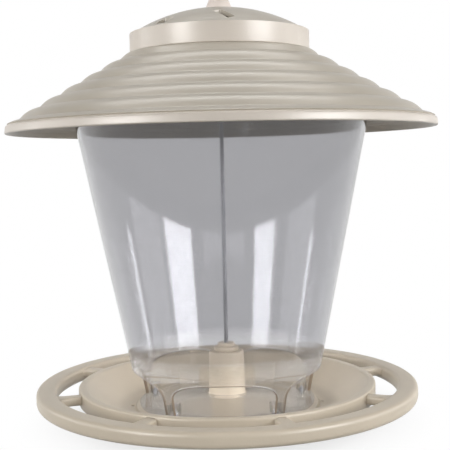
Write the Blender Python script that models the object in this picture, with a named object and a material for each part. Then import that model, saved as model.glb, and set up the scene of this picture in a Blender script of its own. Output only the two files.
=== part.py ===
"""A hanging gravity seed feeder: a ribbed roof with a lift-off filler cap over a clear tapered hopper,
which stands on a round tray with a perch ring, all strung on one steel hanger rod.

Metres, +Z up. The origin is the centre of the tray's foot, on the surface that the feeder stands on.
"""

import math

import bmesh
import bpy
from mathutils import Matrix, Vector

# General fits and facets
FIT = 0.0003
OVERLAP = 0.001
SEGMENTS = 48
SMALL_SEGMENTS = 20
SMOOTH_ANGLE = math.radians(35)

# Hanger rod, its eye and its fixing in the post
ROD_RADIUS = 0.0012
ROD_LIFT_ROOM = 0.074
EYE_INNER_RADIUS = 0.009
EYE_GAP = 0.0012
EYE_POINTS = 26
NUT_FLATS_RADIUS = 0.0035
NUT_HEIGHT = 0.0032
WASHER_RADIUS = 0.006
WASHER_THICKNESS = 0.0012
ROD_TAIL = 0.003

# Base tray
FOOT_RADIUS = 0.064
FOOT_WALL = 0.0025
FOOT_HEIGHT = 0.005
TRAY_WALL = 0.0024
LAND_WIDTH = 0.014
GUTTER_DROP = 0.0015
GUTTER_WIDTH = 0.011
FLOOR_RISE = 0.0045
TRAY_DEPTH = 0.0134
RIM_RADIUS = 0.0902
RIM_WIDTH = 0.0046
RIM_HEIGHT = 0.0098
RIM_ROUND = 0.0009
RIM_TOP_WALL = 0.0030
POST_RADIUS = 0.0112
POST_DRAFT = 0.0006
POST_HEIGHT = 0.0275
POST_TOP_WALL = 0.0026
BUSH_RADIUS = 0.0076
BUSH_STEP_RADIUS = 0.0052
BUSH_HEIGHT = 0.0046
DRAIN_COUNT = 8
DRAIN_RADIUS = 0.0013

# Perch ring
PERCH_RADIUS = 0.1152
PERCH_WIDTH = 0.0120
PERCH_HEIGHT = 0.0090
PERCH_ROUND = 0.0030
SPOKE_COUNT = 8
SPOKE_TURN = math.radians(18)
SPOKE_WIDTH = 0.008
SPOKE_HEIGHT = 0.0052
SPOKE_BELOW_RIM = 0.0038
TONGUE_WIDTH = 0.005
TONGUE_DEPTH = 0.0018

# Hopper
HOPPER_BOTTOM_RADIUS = 0.0533
HOPPER_TOP_RADIUS = 0.0896
HOPPER_HEIGHT = 0.1800
HOPPER_WALL = 0.0022
HOPPER_FLOOR = 0.0022
HOPPER_FLOOR_HOLE = 0.0128
PORT_COUNT = 5
PORT_TURN = math.radians(-128)
PORT_SPRING = 0.0080
PORT_RISE = 0.0116
PORT_FLATNESS = 2.6
PORT_ARC_STEPS = 14
LEG_WIDTH = 0.0060
BOSS_RADIUS = 0.0034
BOSS_HEIGHT = 0.0085

# Hopper screws, one under each leg
SCREW_RADIUS = 0.0014
SCREW_LENGTH = 0.0085
SCREW_HEAD_RADIUS = 0.0030
SCREW_HEAD_HEIGHT = 0.0020

# Roof
ROOF_RADIUS = 0.1280
ROOF_WALL = 0.0022
LIP_HEIGHT = 0.0058
LIP_FLARE = 0.0016
RIB_COUNT = 6
RIB_PITCH_RADIUS = 0.0118
RIB_PITCH_HEIGHT = 0.0068
RIB_DEPTH = 0.0007
RIB_POINTS = 4
NECK_WALL = 0.0025
NECK_HEIGHT = 0.0080
SEAT_DEPTH = 0.0092
SEAT_WIDTH = 0.0036
SKIRT_WALL = 0.0022
SKIRT_DROP = 0.0036

# Filler cap and its grommet
CAP_STEP = 0.0018
CAP_WALL = 0.0022
CAP_SKIRT_HEIGHT = 0.0104
CAP_ROUND = 0.0020
DOME_RISE = 0.0160
DOME_STEPS = 7
CAP_SLOT_COUNT = 3
CAP_SLOT_TURN = math.radians(-132)
CAP_SLOT_WIDTH = 0.0080
CAP_SLOT_LENGTH = 0.0080
CAP_SLOT_INSET = 0.0082
LATCH_TURN = math.radians(-86)
LATCH_SKEW = math.radians(29)
LATCH_RADIUS = 0.0410
LATCH_LENGTH = 0.0150
LATCH_WIDTH = 0.0050
GROMMET_RADIUS = 0.0076
GROMMET_TIP_RADIUS = 0.0046
GROMMET_CONE_HEIGHT = 0.0085
GROMMET_TIP_HEIGHT = 0.0030
GROMMET_STEM_RADIUS = 0.0044
GROMMET_BEAD_RADIUS = 0.0058
GROMMET_BEAD_HEIGHT = 0.0016

# Heights and radii that follow from the sizes above
rod_bore = ROD_RADIUS + FIT
land_under = FOOT_HEIGHT
land_height = land_under + TRAY_WALL
rim_height = land_height + TRAY_DEPTH
gutter_height = land_height - GUTTER_DROP
post_foot = land_height + FLOOR_RISE
post_top = post_foot + POST_HEIGHT
land_inner = HOPPER_BOTTOM_RADIUS - LAND_WIDTH + FOOT_WALL
land_outer = land_inner + LAND_WIDTH
gutter_outer = land_outer + GUTTER_WIDTH
boss_ring = HOPPER_BOTTOM_RADIUS - HOPPER_WALL - BOSS_RADIUS + OVERLAP
screw_bore = SCREW_RADIUS + FIT
perch_top = rim_height
perch_inner = PERCH_RADIUS - PERCH_WIDTH
spoke_middle = rim_height - SPOKE_BELOW_RIM
hopper_foot = land_height + FIT
hopper_top = hopper_foot + HOPPER_HEIGHT
hopper_slope = (HOPPER_TOP_RADIUS - HOPPER_BOTTOM_RADIUS) / HOPPER_HEIGHT
seat_height = hopper_top + FIT
rib_slope = RIB_PITCH_HEIGHT / RIB_PITCH_RADIUS
lip_radius = ROOF_RADIUS - LIP_FLARE
shoulder_radius = lip_radius - RIB_COUNT * RIB_PITCH_RADIUS
roof_wall_upright = ROOF_WALL * math.hypot(1, rib_slope)
lip_top = seat_height + SEAT_DEPTH + roof_wall_upright - rib_slope * (lip_radius - HOPPER_TOP_RADIUS)
brim_height = lip_top - LIP_HEIGHT
shoulder_height = lip_top + RIB_COUNT * RIB_PITCH_HEIGHT
cap_radius = shoulder_radius - CAP_STEP
neck_radius = cap_radius - CAP_WALL - FIT
neck_top = shoulder_height + NECK_HEIGHT
cap_foot = shoulder_height + FIT
cap_shoulder = cap_foot + CAP_SKIRT_HEIGHT
cap_top = cap_shoulder + DOME_RISE
grommet_seat = cap_top + FIT
grommet_top = grommet_seat + GROMMET_CONE_HEIGHT + GROMMET_TIP_HEIGHT
eye_centre = grommet_top + ROD_LIFT_ROOM + EYE_INNER_RADIUS + 2 * ROD_RADIUS
washer_top = post_top - POST_TOP_WALL - FIT
nut_top = washer_top - WASHER_THICKNESS - FIT
rod_bottom = nut_top - NUT_HEIGHT - ROD_TAIL


def clear_scene():
    for old in list(bpy.data.objects):
        bpy.data.objects.remove(old)


def finish_of(name, colour, roughness, metallic=0.0, clear=0.0):
    """One material: a Principled BSDF with its colour, roughness, metallic value and clearness."""
    made = bpy.data.materials.new(name)
    made.use_nodes = True
    shader = made.node_tree.nodes["Principled BSDF"]
    shader.inputs["Base Color"].default_value = (*colour, 1.0)
    shader.inputs["Roughness"].default_value = roughness
    shader.inputs["Metallic"].default_value = metallic
    shader.inputs["Transmission Weight"].default_value = clear
    return made


def object_of(name, shape, finish):
    """Puts a bmesh into a new object with its finish, shaded smooth but for its sharp edges."""
    mesh = bpy.data.meshes.new(name)
    shape.to_mesh(mesh)
    shape.free()
    mesh.shade_smooth()
    mesh.set_sharp_from_angle(angle=SMOOTH_ANGLE)
    mesh.materials.append(finish)
    made = bpy.data.objects.new(name, mesh)
    bpy.context.scene.collection.objects.link(made)
    return made


def spin(shape, outline, segments):
    """Turns a closed outline of (radius, height) points round Z into the bmesh."""
    points = [shape.verts.new((radius, 0, height)) for radius, height in outline]
    pairs = zip(points, points[1:] + points[:1])
    edges = [shape.edges.new(pair) for pair in pairs if max(pair[0].co.x, pair[1].co.x) > 0]
    bmesh.ops.spin(
        shape, geom=points + edges, axis=(0, 0, 1), cent=(0, 0, 0),
        angle=math.tau, steps=segments, use_merge=True,
    )
    bmesh.ops.remove_doubles(shape, verts=shape.verts, dist=1e-7)
    bmesh.ops.recalc_face_normals(shape, faces=shape.faces)


def turned(name, outline, finish, segments=SEGMENTS):
    shape = bmesh.new()
    spin(shape, outline, segments)
    return object_of(name, shape, finish)


def helper(made):
    """Marks an object that only cuts or joins another."""
    made.hide_render = True
    made.display_type = "WIRE"
    return made


def combine(target, other, operation):
    change = target.modifiers.new(other.name, "BOOLEAN")
    change.operation = operation
    change.object = helper(other)
    change.solver = "EXACT"


def add_box(shape, size, place):
    """A box of that size, centred on the origin before the matrix places it."""
    scale = Matrix.Diagonal((*size, 1))
    bmesh.ops.create_cube(shape, size=1, matrix=place @ scale)


def add_rod(shape, radius, low, high, place, segments=SMALL_SEGMENTS):
    """An upright cylinder from low to high, before the matrix places it."""
    middle = Matrix.Translation((0, 0, (low + high) / 2))
    bmesh.ops.create_cone(
        shape, cap_ends=True, segments=segments, radius1=radius, radius2=radius, depth=high - low,
        matrix=place @ middle,
    )


def add_prism(shape, plan, low, high, place):
    """An upright prism on a plan of (x, y) points, before the matrix places it."""
    corners = [shape.verts.new(place @ Vector((x, y, low))) for x, y in plan]
    face = shape.faces.new(corners)
    raised = bmesh.ops.extrude_face_region(shape, geom=[face])["geom"]
    lifted = [item for item in raised if isinstance(item, bmesh.types.BMVert)]
    bmesh.ops.translate(shape, verts=lifted, vec=(0, 0, high - low))
    bmesh.ops.recalc_face_normals(shape, faces=shape.faces)


def add_window(shape, opening, near, far, angle):
    """A cutter with radial sides: an opening of (angle, height) points between two radii."""
    walls = []
    for radius in (near, far):
        place = [turn(angle + side) @ Vector((radius, 0, height)) for side, height in opening]
        walls.append([shape.verts.new(point) for point in place])
    for first, second in zip(range(len(opening)), list(range(1, len(opening))) + [0]):
        shape.faces.new((walls[0][first], walls[0][second], walls[1][second], walls[1][first]))
    for wall in walls:
        shape.faces.new(wall)
    bmesh.ops.recalc_face_normals(shape, faces=shape.faces)


def turn(angle):
    return Matrix.Rotation(angle, 4, "Z")


def out(distance, height=0.0):
    return Matrix.Translation((distance, 0, height))


def arc(centre, radius, start, end, steps):
    """Points on a circle's arc in the (radius, height) plane, ends included."""
    angles = [start + (end - start) * step / steps for step in range(steps + 1)]
    return [(centre[0] + radius * math.cos(a), centre[1] + radius * math.sin(a)) for a in angles]


def hopper_radius(height):
    """Outside radius of the hopper's wall at a height."""
    return HOPPER_BOTTOM_RADIUS + hopper_slope * (height - hopper_foot)


def around(count, start=0.0):
    """Equal angles round the axis."""
    return [start + math.tau * step / count for step in range(count)]


def make_tray(finish):
    """The moulded tray: foot, sloped floor, flat land for the hopper, gutter, rim and hollow post."""
    wall_out = gutter_outer + TRAY_WALL
    rim_in = RIM_RADIUS - RIM_WIDTH
    band_in = RIM_RADIUS - TRAY_WALL
    rim_under = rim_height - RIM_TOP_WALL
    post_inner = POST_RADIUS - TRAY_WALL
    hollow_top = post_top - POST_TOP_WALL
    foot_inner = FOOT_RADIUS - FOOT_WALL
    outline = [
        (rod_bore, hollow_top),
        (post_inner - POST_DRAFT, hollow_top),
        (post_inner, post_foot - TRAY_WALL),
        (land_inner, land_under),
        (land_outer - OVERLAP, land_under),
        (land_outer, gutter_height - TRAY_WALL),
        (foot_inner - OVERLAP, gutter_height - TRAY_WALL),
        (foot_inner, 0),
        (FOOT_RADIUS, 0),
        (FOOT_RADIUS + OVERLAP, gutter_height - TRAY_WALL),
        (wall_out, gutter_height - TRAY_WALL),
        (band_in - OVERLAP, rim_under),
        (band_in, rim_under),
        (band_in, rim_height - RIM_HEIGHT),
        (RIM_RADIUS - RIM_ROUND, rim_height - RIM_HEIGHT),
        (RIM_RADIUS, rim_height - RIM_HEIGHT + RIM_ROUND),
        (RIM_RADIUS, rim_height - RIM_ROUND),
        (RIM_RADIUS - RIM_ROUND, rim_height),
        (rim_in + RIM_ROUND, rim_height),
        (rim_in, rim_height - RIM_ROUND),
        (gutter_outer, gutter_height),
        (land_outer + OVERLAP, gutter_height),
        (land_outer, land_height),
        (land_inner, land_height),
        (POST_RADIUS, post_foot),
        (POST_RADIUS - POST_DRAFT, post_top),
        (rod_bore, post_top),
    ]
    tray = turned("base_tray", outline, finish)

    holes = bmesh.new()
    for angle in around(PORT_COUNT, PORT_TURN):
        add_rod(holes, screw_bore, 0, rim_height, turn(angle) @ out(boss_ring))
    drain_ring = land_outer + OVERLAP + DRAIN_RADIUS + FIT
    for angle in around(DRAIN_COUNT):
        add_rod(holes, DRAIN_RADIUS, 0, rim_height, turn(angle) @ out(drain_ring), 10)
    pocket_height = SPOKE_HEIGHT + 2 * FIT
    pocket = (2 * (TONGUE_DEPTH + FIT), TONGUE_WIDTH + 2 * FIT, pocket_height)
    for angle in around(SPOKE_COUNT, SPOKE_TURN):
        add_box(holes, pocket, turn(angle) @ out(RIM_RADIUS, spoke_middle))
    combine(tray, object_of("tray_holes", holes, finish), "DIFFERENCE")
    return tray


def make_perch(finish):
    """The perch: a round-edged ring with spokes whose tongues plug into the tray's rim."""
    low = perch_top - PERCH_HEIGHT
    corners = [
        ((PERCH_RADIUS - PERCH_ROUND, perch_top - PERCH_ROUND), 0),
        ((perch_inner + PERCH_ROUND, perch_top - PERCH_ROUND), 1),
        ((perch_inner + PERCH_ROUND, low + PERCH_ROUND), 2),
        ((PERCH_RADIUS - PERCH_ROUND, low + PERCH_ROUND), 3),
    ]
    outline = []
    for centre, quarter in corners:
        start = quarter * math.pi / 2
        outline += arc(centre, PERCH_ROUND, start, start + math.pi / 2, 2)
    perch = turned("perch_ring", outline, finish, 64)

    spokes = bmesh.new()
    reach = perch_inner + PERCH_WIDTH / 2
    root = RIM_RADIUS + FIT
    tip = RIM_RADIUS - TONGUE_DEPTH
    flank = SPOKE_WIDTH / 2
    tongue = TONGUE_WIDTH / 2
    half = [(reach, flank), (root, flank), (root, tongue), (tip, tongue)]
    plan = half + [(x, -y) for x, y in reversed(half)]
    for angle in around(SPOKE_COUNT, SPOKE_TURN):
        add_prism(spokes, plan, spoke_middle - SPOKE_HEIGHT / 2, spoke_middle + SPOKE_HEIGHT / 2, turn(angle))
    combine(perch, object_of("perch_spokes", spokes, finish), "UNION")
    return perch


def make_hopper(finish):
    """The clear hopper: a tapered tube with arched seed ports, a sloped floor and screw bosses."""
    floor_top = hopper_foot + HOPPER_FLOOR
    floor_slope = FLOOR_RISE / (land_inner - POST_RADIUS)
    floor_rise = floor_slope * (land_inner - HOPPER_FLOOR_HOLE)
    outline = [
        (HOPPER_FLOOR_HOLE, hopper_foot + floor_rise),
        (land_inner, hopper_foot),
        (HOPPER_BOTTOM_RADIUS, hopper_foot),
        (HOPPER_TOP_RADIUS, hopper_top),
        (HOPPER_TOP_RADIUS - HOPPER_WALL, hopper_top),
        (hopper_radius(floor_top) - HOPPER_WALL, floor_top),
        (land_inner, floor_top),
        (HOPPER_FLOOR_HOLE, floor_top + floor_rise),
    ]
    hopper = turned("hopper", outline, finish)

    ports = bmesh.new()
    half_leg = LEG_WIDTH / 2 / HOPPER_BOTTOM_RADIUS
    half_port = math.pi / PORT_COUNT - half_leg
    spring = floor_top + PORT_SPRING
    sill = floor_top + FIT
    for angle in around(PORT_COUNT, PORT_TURN + math.pi / PORT_COUNT):
        opening = [(-half_port, sill)]
        for step in range(PORT_ARC_STEPS + 1):
            across = -math.cos(math.pi * step / PORT_ARC_STEPS)
            rise = (1 - abs(across) ** PORT_FLATNESS) ** (1 / PORT_FLATNESS)
            opening.append((half_port * across, spring + PORT_RISE * rise))
        opening.append((half_port, sill))
        add_window(ports, opening, boss_ring + BOSS_RADIUS - OVERLAP / 2, HOPPER_TOP_RADIUS, angle)
    combine(hopper, object_of("hopper_ports", ports, finish), "DIFFERENCE")

    bosses = bmesh.new()
    pilots = bmesh.new()
    for angle in around(PORT_COUNT, PORT_TURN):
        place = turn(angle) @ out(boss_ring)
        add_rod(bosses, BOSS_RADIUS, hopper_foot + OVERLAP / 2, hopper_foot + BOSS_HEIGHT, place)
        add_rod(pilots, screw_bore, 0, hopper_foot + BOSS_HEIGHT - OVERLAP, place)
    combine(hopper, object_of("hopper_bosses", bosses, finish), "UNION")
    combine(hopper, object_of("hopper_pilots", pilots, finish), "DIFFERENCE")
    return hopper


def make_screw(name, angle, finish):
    """A pan-head screw from below the tray's floor into one of the hopper's bosses."""
    under = land_under - FIT
    outline = [
        (0, under - SCREW_HEAD_HEIGHT),
        (SCREW_HEAD_RADIUS * 0.7, under - SCREW_HEAD_HEIGHT),
        (SCREW_HEAD_RADIUS, under - SCREW_HEAD_HEIGHT / 2),
        (SCREW_HEAD_RADIUS, under),
        (SCREW_RADIUS, under),
        (SCREW_RADIUS, under + SCREW_LENGTH - SCREW_RADIUS),
        (0, under + SCREW_LENGTH),
    ]
    screw = turned(name, outline, finish, 12)
    screw.matrix_world = turn(angle) @ out(boss_ring)
    return screw


def rib_line(depth, steps):
    """The roof's line of round ribs from the neck out to the lip, set back by a depth square to the slope."""
    length = math.hypot(1, rib_slope)
    points = []
    for step in range(steps + 1):
        along = RIB_COUNT * step / steps
        wave = RIB_DEPTH * (2 * abs(math.cos(math.pi * along)) - 1) - depth
        radius = shoulder_radius + RIB_PITCH_RADIUS * along + wave * rib_slope / length
        height = shoulder_height - RIB_PITCH_HEIGHT * along + wave / length
        points.append((radius, height))
    return points


def height_on(line, radius):
    """The height at a radius on a line of points that run outward."""
    for (near, high), (far, low) in zip(line, line[1:]):
        if near <= radius <= far:
            return high + (low - high) * (radius - near) / (far - near)
    return line[-1][1]


def make_roof(finish):
    """The ribbed roof: a short neck for the cap, a flared lip, and a seat and skirt over the hopper's rim."""
    outer = rib_line(RIB_DEPTH, RIB_COUNT * RIB_POINTS)
    inner = rib_line(RIB_DEPTH + ROOF_WALL, RIB_COUNT * RIB_POINTS)
    inner = [point for point in inner if point[0] < lip_radius - ROOF_WALL]
    bore = neck_radius - NECK_WALL
    seat_in = HOPPER_TOP_RADIUS - SEAT_WIDTH
    skirt_in = HOPPER_TOP_RADIUS + FIT
    skirt_out = skirt_in + SKIRT_WALL
    outline = [(bore, neck_top), (neck_radius, neck_top), (neck_radius, outer[0][1])]
    outline += outer
    outline += [
        (ROOF_RADIUS, brim_height),
        (ROOF_RADIUS - ROOF_WALL, brim_height),
        (lip_radius - ROOF_WALL, inner[-1][1] - ROOF_WALL),
    ]
    outline += [point for point in reversed(inner) if point[0] > skirt_out + OVERLAP]
    outline += [
        (skirt_out, height_on(inner, skirt_out)),
        (skirt_out, seat_height - SKIRT_DROP),
        (skirt_in, seat_height - SKIRT_DROP),
        (skirt_in, seat_height),
        (seat_in, seat_height),
        (seat_in, height_on(inner, seat_in)),
    ]
    outline += [point for point in reversed(inner) if point[0] < seat_in - OVERLAP]
    outline += [(bore, inner[0][1])]
    return turned("roof", outline, finish)


def dome_line(wall):
    """The cap's domed line from its shoulder in to the flat under the grommet, set in by a wall."""
    radius = cap_radius
    rise = DOME_RISE
    sphere = (radius * radius + rise * rise) / (2 * rise)
    centre = cap_top - sphere
    first = math.acos((radius - CAP_ROUND) / sphere)
    last = math.acos((GROMMET_RADIUS + OVERLAP) / sphere)
    return arc((0, centre), sphere - wall, first, last, DOME_STEPS)


def make_cap(finish):
    """The lift-off filler cap: a plain skirt and a shallow dome with vent slots and a skewed latch window."""
    hole = GROMMET_STEM_RADIUS + FIT
    skirt_in = cap_radius - CAP_WALL
    outer = dome_line(0)
    inner = dome_line(CAP_WALL)
    inner = [point for point in inner if point[0] < skirt_in - OVERLAP]
    flat = outer[-1][1]
    outline = [(skirt_in, cap_foot), (cap_radius, cap_foot), (cap_radius, outer[0][1] - CAP_ROUND)]
    outline += outer
    outline += [(hole, flat), (hole, flat - CAP_WALL)]
    outline += list(reversed(inner))
    outline += [(skirt_in, inner[0][1] - CAP_ROUND)]
    cap = turned("filler_cap", outline, finish)

    slots = bmesh.new()
    for angle in around(CAP_SLOT_COUNT, CAP_SLOT_TURN):
        size = (CAP_SLOT_LENGTH, CAP_SLOT_WIDTH, 2 * DOME_RISE)
        add_box(slots, size, turn(angle) @ out(cap_radius - CAP_SLOT_INSET, cap_shoulder + DOME_RISE / 2))
    size = (LATCH_LENGTH, LATCH_WIDTH, 2 * DOME_RISE)
    place = turn(LATCH_TURN) @ out(LATCH_RADIUS, cap_shoulder + DOME_RISE) @ turn(LATCH_SKEW)
    add_box(slots, size, place)
    combine(cap, object_of("cap_slots", slots, finish), "DIFFERENCE")
    return cap


def make_grommet(finish):
    """The tapered grommet in the cap's hole: a cone above, a stem through and a bead below."""
    seat = dome_line(0)[-1][1] + FIT
    bead = seat - CAP_WALL - 2 * FIT
    cone = seat + GROMMET_CONE_HEIGHT
    outline = [
        (rod_bore, bead - GROMMET_BEAD_HEIGHT),
        (GROMMET_STEM_RADIUS, bead - GROMMET_BEAD_HEIGHT),
        (GROMMET_BEAD_RADIUS, bead),
        (GROMMET_STEM_RADIUS, bead),
        (GROMMET_STEM_RADIUS, seat),
        (GROMMET_RADIUS, seat),
        (GROMMET_RADIUS, seat + OVERLAP),
        (GROMMET_TIP_RADIUS, cone),
        (GROMMET_TIP_RADIUS, cone + GROMMET_TIP_HEIGHT - OVERLAP),
        (GROMMET_TIP_RADIUS - OVERLAP, cone + GROMMET_TIP_HEIGHT),
        (rod_bore, cone + GROMMET_TIP_HEIGHT),
    ]
    return turned("cap_grommet", outline, finish, 32)


def make_rod(finish):
    """The hanger rod: one straight steel wire bent round at the top into an eye."""
    loop = EYE_INNER_RADIUS + ROD_RADIUS
    bend = math.asin(loop / (2 * loop))
    path = [(0, rod_bottom), (0, eye_centre - loop - 2 * ROD_RADIUS)]
    start = -math.pi / 2 + bend
    gap = (2 * ROD_RADIUS + EYE_GAP) / loop
    end = start + math.tau - gap - bend
    for step in range(EYE_POINTS + 1):
        angle = start + (end - start) * step / EYE_POINTS
        path.append((loop * math.cos(angle), eye_centre + loop * math.sin(angle)))
    curve = bpy.data.curves.new("hanger_rod", "CURVE")
    curve.dimensions = "3D"
    curve.bevel_depth = ROD_RADIUS
    curve.bevel_resolution = 2
    curve.use_fill_caps = True
    line = curve.splines.new("POLY")
    line.points.add(len(path) - 1)
    for point, (across, height) in zip(line.points, path):
        point.co = (across, 0, height, 1)
    curve.materials.append(finish)
    rod = bpy.data.objects.new("hanger_rod", curve)
    bpy.context.scene.collection.objects.link(rod)
    return rod


def make_fixings(steel, plastic):
    """The rod's fixing in the post: a stepped bush above, a washer and a hexagon nut below."""
    step = post_top + FIT + BUSH_HEIGHT / 2
    bush = [
        (rod_bore, post_top + FIT),
        (BUSH_RADIUS, post_top + FIT),
        (BUSH_RADIUS, step),
        (BUSH_STEP_RADIUS, step + OVERLAP / 2),
        (BUSH_STEP_RADIUS, post_top + FIT + BUSH_HEIGHT),
        (rod_bore, post_top + FIT + BUSH_HEIGHT),
    ]
    turned("post_bush", bush, plastic, 32)
    washer = [
        (rod_bore, washer_top - WASHER_THICKNESS),
        (WASHER_RADIUS, washer_top - WASHER_THICKNESS),
        (WASHER_RADIUS, washer_top),
        (rod_bore, washer_top),
    ]
    turned("rod_washer", washer, steel, SMALL_SEGMENTS)
    corner = NUT_FLATS_RADIUS / math.cos(math.pi / 6)
    nut = [
        (rod_bore, nut_top - NUT_HEIGHT),
        (corner, nut_top - NUT_HEIGHT),
        (corner, nut_top),
        (rod_bore, nut_top),
    ]
    turned("rod_nut", nut, steel, 6)


clear_scene()
plastic = finish_of("stone plastic", (0.56, 0.51, 0.43), 0.45)
soft = finish_of("pale vinyl", (0.66, 0.60, 0.54), 0.5)
clear = finish_of("clear plastic", (0.80, 0.81, 0.83), 0.06, clear=1.0)
steel = finish_of("zinc steel", (0.42, 0.43, 0.45), 0.35, metallic=1.0)
make_tray(plastic)
make_perch(plastic)
make_hopper(clear)
for number, angle in enumerate(around(PORT_COUNT, PORT_TURN), 1):
    make_screw(f"hopper_screw_{number}", angle, steel)
make_roof(plastic)
make_cap(plastic)
make_grommet(soft)
make_rod(steel)
make_fixings(steel, plastic)
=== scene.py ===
"""A hanging seed feeder: tray and perch ring, clear hopper, ribbed roof with its filler cap, and the hanger rod.

Metres, +Z up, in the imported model's frame: the tray's foot stands on z = 0 and -Y is the front.
"""

import math

import bpy
import numpy as np
from mathutils import Matrix, Vector


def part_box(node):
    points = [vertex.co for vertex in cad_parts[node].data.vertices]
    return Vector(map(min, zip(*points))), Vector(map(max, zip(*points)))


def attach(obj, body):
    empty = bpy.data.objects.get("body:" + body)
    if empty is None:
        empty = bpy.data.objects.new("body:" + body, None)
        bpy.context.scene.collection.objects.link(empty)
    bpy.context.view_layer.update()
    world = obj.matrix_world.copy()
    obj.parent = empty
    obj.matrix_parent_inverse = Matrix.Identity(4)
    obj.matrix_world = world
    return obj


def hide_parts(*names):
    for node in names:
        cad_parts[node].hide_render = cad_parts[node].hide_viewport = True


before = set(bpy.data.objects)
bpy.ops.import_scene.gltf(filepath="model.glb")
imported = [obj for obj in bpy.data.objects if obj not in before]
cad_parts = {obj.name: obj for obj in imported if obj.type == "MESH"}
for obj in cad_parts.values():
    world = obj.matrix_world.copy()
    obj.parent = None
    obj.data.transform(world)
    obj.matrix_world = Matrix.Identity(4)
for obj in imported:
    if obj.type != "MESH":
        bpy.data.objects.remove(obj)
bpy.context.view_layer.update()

# Base tray
# A round tray moulded in stone-beige plastic: foot ring, sloped floor, gutter, rim band and hollow centre post.
# The floor is drilled for the hopper's screws and for drains, and the rim band has pockets for the perch.


def rounded(corners, radius, steps=5, closed=True):
    """Rounds an outline: each corner P becomes the curve (1-t)^2 A + 2t(1-t) P + t^2 B, with A and B set back from
    P by its radius, or by under half of the shorter edge there. An open outline keeps its two ends."""
    corners = np.asarray(corners, float)
    back = np.roll(corners, 1, 0) - corners
    ahead = np.roll(corners, -1, 0) - corners
    back_length = np.linalg.norm(back, axis=1)
    ahead_length = np.linalg.norm(ahead, axis=1)
    set_back = np.minimum(np.broadcast_to(radius, len(corners)), 0.46 * np.minimum(back_length, ahead_length))
    if not closed:
        set_back[[0, -1]] = 0
    start = corners + back * (set_back / back_length)[:, None]
    end = corners + ahead * (set_back / ahead_length)[:, None]
    t = np.linspace(0, 1, steps)[None, :, None]
    curve = (1 - t) ** 2 * start[:, None] + 2 * t * (1 - t) * corners[:, None] + t**2 * end[:, None]
    curve = curve.reshape(-1, 2)
    return curve[np.linalg.norm(curve - np.roll(curve, 1, 0), axis=1) > 1e-7]


def turned(profile, steps):
    """Carries a closed (radius, height) profile round Z: x = r cos a, y = r sin a, z = h."""
    angle = np.linspace(0, 2 * np.pi, steps, endpoint=False)[:, None]
    radius, height = profile[:, 0], profile[:, 1]
    return np.stack([radius * np.cos(angle), radius * np.sin(angle), height + 0 * angle], -1)


def skin(grid, close_rows=True):
    """Quads over a grid of points whose columns close. Its rows close too, or climb and end in flat lids."""
    rows, columns = grid.shape[:2]
    row, column = np.meshgrid(np.arange(rows if close_rows else rows - 1), np.arange(columns), indexing="ij")
    next_row, next_column = (row + 1) % rows, (column + 1) % columns
    corners = [row * columns + column, next_row * columns + column]
    corners += [next_row * columns + next_column, row * columns + next_column]
    faces = np.stack(corners if close_rows else corners[::-1], -1).reshape(-1, 4).tolist()
    if not close_rows:
        faces.append(list(range(columns))[::-1])
        faces.append(list(range((rows - 1) * columns, rows * columns)))
    return grid.reshape(-1, 3), faces


def gathered(parts):
    """Puts several (points, faces) skins into one, each one's faces counted on from the last one's points."""
    starts = np.cumsum([0] + [len(points) for points, _ in parts])
    points = np.concatenate([points for points, _ in parts])
    faces = [[int(start) + corner for corner in face] for start, (_, part) in zip(starts, parts) for face in part]
    return points, faces


def piece_of(name, body, replaced, finish, parts, crease=35):
    """One object from skins: its faces smooth but for creases, its finish, body and the nodes it stands for."""
    points, faces = gathered(parts)
    mesh = bpy.data.meshes.new(name)
    mesh.from_pydata(points.tolist(), [], faces)
    mesh.validate()
    mesh.shade_smooth()
    mesh.set_sharp_from_angle(angle=math.radians(crease))
    mesh.materials.append(finish)
    piece = bpy.data.objects.new(name, mesh)
    bpy.context.scene.collection.objects.link(piece)
    if body:
        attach(piece, body)
        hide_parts(*replaced)
    return piece


def worked(piece, parts, operation, crease=35):
    """Cuts skins out of a finished piece, or joins them to it, and keeps the result as its mesh."""
    tool = piece_of(piece.name + "_tool", None, (), piece.data.materials[0], parts)
    change = piece.modifiers.new("work", "BOOLEAN")
    change.operation = operation
    change.object = tool
    change.solver = "EXACT"
    change.use_self = True
    graph = bpy.context.evaluated_depsgraph_get()
    mesh = bpy.data.meshes.new_from_object(piece.evaluated_get(graph))
    piece.modifiers.clear()
    piece.data = mesh
    mesh.shade_smooth()
    mesh.set_sharp_from_angle(angle=math.radians(crease))
    bpy.data.objects.remove(tool)


def moved(grid, angle, distance, height=0.0):
    """Shifts a grid out along +X and up, then turns it about Z."""
    cosine, sine = math.cos(angle), math.sin(angle)
    x, y, z = grid[..., 0] + distance, grid[..., 1], grid[..., 2] + height
    return np.stack([cosine * x - sine * y, sine * x + cosine * y, z], -1)


def bar(half_x, half_y, low, high, edge=0.0):
    """An upright block: a rectangle of the two half widths, its corners rounded, carried from low to high."""
    outline = [(half_x, -half_y), (half_x, half_y), (-half_x, half_y), (-half_x, -half_y)]
    plan = rounded(outline, edge, 5) if edge else np.array(outline)
    levels = np.array([low, high])[:, None]
    return np.stack([plan[:, 0] + 0 * levels, plan[:, 1] + 0 * levels, levels + 0 * plan[:, 0]], -1)


def peg(radius, low, high, steps=24):
    """An upright cylinder from low to high."""
    angle = np.linspace(0, 2 * np.pi, steps, endpoint=False)
    levels = np.array([low, high])[:, None]
    flat = 0 * levels
    return np.stack([radius * np.cos(angle) + flat, radius * np.sin(angle) + flat, levels + 0 * angle], -1)


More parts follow.
